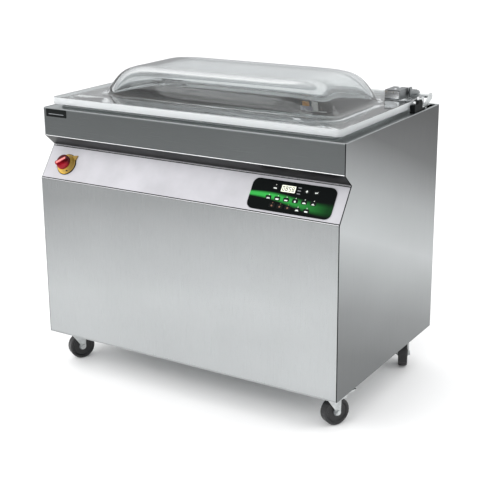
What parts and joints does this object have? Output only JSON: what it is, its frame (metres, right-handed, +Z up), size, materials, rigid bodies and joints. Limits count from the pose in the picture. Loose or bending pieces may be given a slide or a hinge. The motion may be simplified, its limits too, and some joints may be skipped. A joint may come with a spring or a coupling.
{
  "type": "vacuum packing machine",
  "caption": "Floor-standing chamber vacuum packer: steel cabinet on braked casters, clear domed lid on a rear hinge, sloped control fascia with rotary mains switch and membrane keys.",
  "frame": {"origin": "centre of the bounding box footprint, on the floor under the casters", "axes": "+X along the front towards the right-hand side, +Y from the control fascia to the rear, +Z up"},
  "size_m": [1, 0.651, 0.928],
  "materials": {
    "brushed_sheet": "brushed",
    "dark_sheet": "brushed",
    "fascia_coat": "satin",
    "zinc_plate": "zinc plated",
    "clear_acrylic": "polished clear",
    "black_rubber": "matt",
    "silicone": "matt",
    "pump_casting": "painted",
    "motor_casting": "painted",
    "bar_aluminium": "anodised",
    "coil_copper": "varnished",
    "grey_plastic": "matt",
    "black_plastic": "matt",
    "switch_yellow": "gloss",
    "switch_red": "gloss",
    "membrane_film": "semi gloss",
    "key_film": "semi gloss"
  },
  "bodies": {
    "cabinet": {"base_tray": "brushed_sheet", "side_panel_left": "brushed_sheet", "side_panel_right": "brushed_sheet", "front_panel": "brushed_sheet", "control_fascia": "fascia_coat", "top_deck": "dark_sheet", "rear_panel": "brushed_sheet", "chamber_tub": "brushed_sheet", "chamber_gasket": "black_rubber", "seal_lift": "zinc_plate", "vacuum_pump": "pump_casting", "pump_motor": "motor_casting", "valve_block": "bar_aluminium", "sealing_transformer": "coil_copper", "electronics_box": "grey_plastic", "mains_switch_collar": "switch_yellow", "membrane_panel": "membrane_film", "cable_gland": "black_plastic", "hinge_base_left": "zinc_plate", "hinge_base_right": "zinc_plate", "gas_spring_cylinder_left": "black_plastic", "gas_spring_cylinder_right": "black_plastic", "lid_switch": "black_plastic", "caster_plate_front_left": "zinc_plate", "caster_plate_front_right": "zinc_plate", "caster_plate_rear_left": "zinc_plate", "caster_plate_rear_right": "zinc_plate"},
    "lid": {"lid_dome": "clear_acrylic", "hinge_arm_left": "brushed_sheet", "hinge_arm_right": "brushed_sheet", "hinge_shaft": "zinc_plate", "counter_bar": "silicone"},
    "gas_rod_left": {"gas_spring_rod_left": "zinc_plate"},
    "gas_rod_right": {"gas_spring_rod_right": "zinc_plate"},
    "sealing_bar": {"seal_bar": "bar_aluminium"},
    "switch_knob": {"mains_switch_knob": "switch_red"},
    "key_1_cap": {"key_1": "key_film"},
    "key_2_cap": {"key_2": "key_film"},
    "key_3_cap": {"key_3": "key_film"},
    "key_4_cap": {"key_4": "key_film"},
    "key_5_cap": {"key_5": "key_film"},
    "key_6_cap": {"key_6": "key_film"},
    "key_7_cap": {"key_7": "key_film"},
    "key_8_cap": {"key_8": "key_film"},
    "key_9_cap": {"key_9": "key_film"},
    "key_10_cap": {"key_10": "key_film"},
    "key_11_cap": {"key_11": "key_film"},
    "key_12_cap": {"key_12": "key_film"},
    "key_13_cap": {"key_13": "key_film"},
    "key_14_cap": {"key_14": "key_film"},
    "swivel_front_left": {"caster_fork_front_left": "zinc_plate"},
    "wheel_front_left": {"caster_wheel_front_left": "black_rubber"},
    "brake_front_left": {"brake_pedal_front_left": "zinc_plate"},
    "swivel_front_right": {"caster_fork_front_right": "zinc_plate"},
    "wheel_front_right": {"caster_wheel_front_right": "black_rubber"},
    "brake_front_right": {"brake_pedal_front_right": "zinc_plate"},
    "swivel_rear_left": {"caster_fork_rear_left": "zinc_plate"},
    "wheel_rear_left": {"caster_wheel_rear_left": "black_rubber"},
    "swivel_rear_right": {"caster_fork_rear_right": "zinc_plate"},
    "wheel_rear_right": {"caster_wheel_rear_right": "black_rubber"}
  },
  "joints": [
    {"name": "lid_hinge", "type": "hinge", "parent": "cabinet", "child": "lid", "pos_m": [0, 0.296, 0.838], "axis": [-1, 0, 0], "range_deg": [0, 60]},
    {"name": "gas_rod_left_slide", "type": "slide", "parent": "cabinet", "child": "gas_rod_left", "axis": [0, 0, 1], "range_m": [0, 0.0605]},
    {"name": "gas_rod_right_slide", "type": "slide", "parent": "cabinet", "child": "gas_rod_right", "axis": [0, 0, 1], "range_m": [0, 0.0605]},
    {"name": "seal_bar_lift", "type": "slide", "parent": "cabinet", "child": "sealing_bar", "axis": [0, 0, 1], "range_m": [0, 0.012]},
    {"name": "mains_switch_turn", "type": "hinge", "parent": "cabinet", "child": "switch_knob", "pos_m": [-0.424, -0.30536, 0.65772], "axis": [0, 0.8125, -0.5829], "range_deg": [0, 90]},
    {"name": "key_1_press", "type": "slide", "parent": "cabinet", "child": "key_1_cap", "axis": [0, 0.8125, -0.5829], "range_m": [0, 0.0005], "stiffness_N_per_m": 1500},
    {"name": "key_2_press", "type": "slide", "parent": "cabinet", "child": "key_2_cap", "axis": [0, 0.8125, -0.5829], "range_m": [0, 0.0005], "stiffness_N_per_m": 1500},
    {"name": "key_3_press", "type": "slide", "parent": "cabinet", "child": "key_3_cap", "axis": [0, 0.8125, -0.5829], "range_m": [0, 0.0005], "stiffness_N_per_m": 1500},
    {"name": "key_4_press", "type": "slide", "parent": "cabinet", "child": "key_4_cap", "axis": [0, 0.8125, -0.5829], "range_m": [0, 0.0005], "stiffness_N_per_m": 1500},
    {"name": "key_5_press", "type": "slide", "parent": "cabinet", "child": "key_5_cap", "axis": [0, 0.8125, -0.5829], "range_m": [0, 0.0005], "stiffness_N_per_m": 1500},
    {"name": "key_6_press", "type": "slide", "parent": "cabinet", "child": "key_6_cap", "axis": [0, 0.8125, -0.5829], "range_m": [0, 0.0005], "stiffness_N_per_m": 1500},
    {"name": "key_7_press", "type": "slide", "parent": "cabinet", "child": "key_7_cap", "axis": [0, 0.8125, -0.5829], "range_m": [0, 0.0005], "stiffness_N_per_m": 1500},
    {"name": "key_8_press", "type": "slide", "parent": "cabinet", "child": "key_8_cap", "axis": [0, 0.8125, -0.5829], "range_m": [0, 0.0005], "stiffness_N_per_m": 1500},
    {"name": "key_9_press", "type": "slide", "parent": "cabinet", "child": "key_9_cap", "axis": [0, 0.8125, -0.5829], "range_m": [0, 0.0005], "stiffness_N_per_m": 1500},
    {"name": "key_10_press", "type": "slide", "parent": "cabinet", "child": "key_10_cap", "axis": [0, 0.8125, -0.5829], "range_m": [0, 0.0005], "stiffness_N_per_m": 1500},
    {"name": "key_11_press", "type": "slide", "parent": "cabinet", "child": "key_11_cap", "axis": [0, 0.8125, -0.5829], "range_m": [0, 0.0005], "stiffness_N_per_m": 1500},
    {"name": "key_12_press", "type": "slide", "parent": "cabinet", "child": "key_12_cap", "axis": [0, 0.8125, -0.5829], "range_m": [0, 0.0005], "stiffness_N_per_m": 1500},
    {"name": "key_13_press", "type": "slide", "parent": "cabinet", "child": "key_13_cap", "axis": [0, 0.8125, -0.5829], "range_m": [0, 0.0005], "stiffness_N_per_m": 1500},
    {"name": "key_14_press", "type": "slide", "parent": "cabinet", "child": "key_14_cap", "axis": [0, 0.8125, -0.5829], "range_m": [0, 0.0005], "stiffness_N_per_m": 1500},
    {"name": "caster_front_left_swivel", "type": "hinge", "parent": "cabinet", "child": "swivel_front_left", "pos_m": [-0.466, -0.253, 0.1], "axis": [0, 0, 1], "continuous": true},
    {"name": "caster_front_left_spin", "type": "hinge", "parent": "swivel_front_left", "child": "wheel_front_left", "pos_m": [-0.454, -0.23222, 0.04], "axis": [-0.866, 0.5, 0], "continuous": true},
    {"name": "brake_front_left_press", "type": "hinge", "parent": "swivel_front_left", "child": "brake_front_left", "pos_m": [-0.443, -0.21316, 0.086], "axis": [-0.866, 0.5, 0], "range_deg": [0, 15]},
    {"name": "caster_front_right_swivel", "type": "hinge", "parent": "cabinet", "child": "swivel_front_right", "pos_m": [0.438, -0.253, 0.1], "axis": [0, 0, 1], "continuous": true},
    {"name": "caster_front_right_spin", "type": "hinge", "parent": "swivel_front_right", "child": "wheel_front_right", "pos_m": [0.45, -0.23222, 0.04], "axis": [-0.866, 0.5, 0], "continuous": true},
    {"name": "brake_front_right_press", "type": "hinge", "parent": "swivel_front_right", "child": "brake_front_right", "pos_m": [0.461, -0.21316, 0.086], "axis": [-0.866, 0.5, 0], "range_deg": [0, 15]},
    {"name": "caster_rear_left_swivel", "type": "hinge", "parent": "cabinet", "child": "swivel_rear_left", "pos_m": [-0.466, 0.253, 0.1], "axis": [0, 0, 1], "continuous": true},
    {"name": "caster_rear_left_spin", "type": "hinge", "parent": "swivel_rear_left", "child": "wheel_rear_left", "pos_m": [-0.45779, 0.27555, 0.04], "axis": [-0.9397, 0.342, 0], "continuous": true},
    {"name": "caster_rear_right_swivel", "type": "hinge", "parent": "cabinet", "child": "swivel_rear_right", "pos_m": [0.44, 0.253, 0.1], "axis": [0, 0, 1], "continuous": true},
    {"name": "caster_rear_right_spin", "type": "hinge", "parent": "swivel_rear_right", "child": "wheel_rear_right", "pos_m": [0.44976, 0.23108, 0.04], "axis": [0.9135, 0.4067, 0], "continuous": true}
  ],
  "couplings": [
    {"joint": "gas_rod_left_slide", "follows": "lid_hinge", "m_per_rad": 0.057296},
    {"joint": "gas_rod_right_slide", "follows": "lid_hinge", "m_per_rad": 0.057296}
  ]
}
